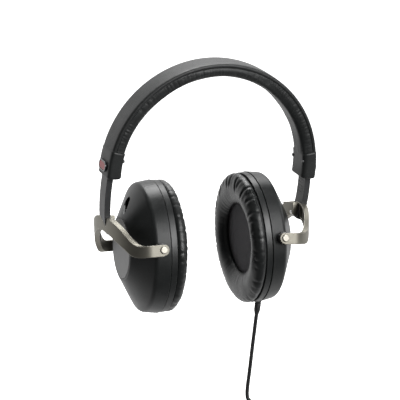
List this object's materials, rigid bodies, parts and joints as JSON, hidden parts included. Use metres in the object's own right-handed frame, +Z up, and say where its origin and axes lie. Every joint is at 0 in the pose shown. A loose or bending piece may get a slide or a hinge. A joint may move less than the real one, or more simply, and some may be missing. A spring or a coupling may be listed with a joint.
{
  "type": "over-ear headphones",
  "caption": "Closed-back over-ear headphones: padded arch headband, curved metal sliders, cast forked yokes, oval coned cups with soft ear pads and a single-sided cord with a stereo plug.",
  "frame": {"origin": "middle of the headband's underside, where it rests on the crown of the head", "axes": "+Z up, -Y the way the wearer faces, +X the wearer's left"},
  "size_m": [0.1702, 0.0904, 0.375],
  "materials": {
    "leatherette": "soft satin grained leatherette",
    "band_plastic": "satin moulded plastic",
    "spring_steel": "bare spring steel",
    "gloss_black": "glossy plastic",
    "mark_red": "translucent red plastic",
    "mark_grey": "grey plastic",
    "screw_steel": "nickel-plated steel",
    "slider_black": "satin black coated steel",
    "yoke_nickel": "satin nickel on a die casting",
    "cup_black": "satin moulded plastic",
    "plate_grey": "fine matt plastic disc",
    "inner_plastic": "moulded plastic",
    "magnet_steel": "plated steel",
    "membrane": "clear polyester film",
    "foam_grey": "open-cell foam",
    "ear_cloth": "fine dark cloth",
    "board_green": "lacquered board",
    "cord_rubber": "soft matt jacket",
    "plug_metal": "gold-plated brass"
  },
  "bodies": {
    "headband": {"headband_cover": "leatherette", "headband_spring": "spring_steel", "headband_cushion": "leatherette", "end_sleeve_left": "band_plastic", "side_mark_bezel_left": "gloss_black", "side_mark_insert_left": "mark_grey", "detent_spring_left": "spring_steel", "sleeve_screws_left": "screw_steel", "end_sleeve_right": "band_plastic", "side_mark_bezel_right": "gloss_black", "side_mark_insert_right": "mark_red", "detent_spring_right": "spring_steel", "sleeve_screws_right": "screw_steel"},
    "slider_left": {"slider_bar_left": "slider_black", "slider_screw_left": "screw_steel", "yoke_left": "yoke_nickel", "yoke_pins_left": "yoke_nickel"},
    "cup_left": {"housing_left": "cup_black", "pivot_bushes_left": "gloss_black", "back_plate_left": "plate_grey", "baffle_left": "cup_black", "baffle_screws_left": "screw_steel", "driver_frame_left": "inner_plastic", "driver_magnet_left": "magnet_steel", "driver_diaphragm_left": "membrane", "driver_grille_left": "inner_plastic", "damping_foam_left": "foam_grey", "baffle_cloth_left": "ear_cloth", "ear_pad_left": "leatherette", "port_insert_left": "inner_plastic", "terminal_board_left": "board_green", "strain_relief": "cord_rubber", "cord_lead": "cord_rubber", "cord_hank": "cord_rubber", "cord_tie": "gloss_black", "plug_relief": "cord_rubber", "plug_body": "gloss_black", "plug_collar": "plug_metal", "plug_pin": "plug_metal", "plug_rings": "gloss_black"},
    "slider_right": {"slider_bar_right": "slider_black", "slider_screw_right": "screw_steel", "yoke_right": "yoke_nickel", "yoke_pins_right": "yoke_nickel"},
    "cup_right": {"housing_right": "cup_black", "pivot_bushes_right": "gloss_black", "back_plate_right": "plate_grey", "baffle_right": "cup_black", "baffle_screws_right": "screw_steel", "driver_frame_right": "inner_plastic", "driver_magnet_right": "magnet_steel", "driver_diaphragm_right": "membrane", "driver_grille_right": "inner_plastic", "damping_foam_right": "foam_grey", "baffle_cloth_right": "ear_cloth", "ear_pad_right": "leatherette", "port_insert_right": "inner_plastic", "terminal_board_right": "board_green"}
  },
  "joints": [
    {"name": "slider_left_extend", "type": "hinge", "parent": "headband", "child": "slider_left", "pos_m": [-0.08, 0, -0.088], "axis": [0, 1, 0], "range_deg": [-6.09, 3.94]},
    {"name": "slider_right_extend", "type": "hinge", "parent": "headband", "child": "slider_right", "pos_m": [0.08, 0, -0.088], "axis": [0, -1, 0], "range_deg": [-9.38, 0.64]},
    {"name": "cup_left_tilt", "type": "hinge", "parent": "slider_left", "child": "cup_left", "pos_m": [0.0488, 0, -0.1256], "axis": [0, 0.9588, -0.284], "range_deg": [-9.5, 14.3]},
    {"name": "cup_right_tilt", "type": "hinge", "parent": "slider_right", "child": "cup_right", "pos_m": [-0.04643, 0, -0.13294], "axis": [-0.0163, -0.9588, 0.2835], "range_deg": [-14.6, 9.2]}
  ]
}
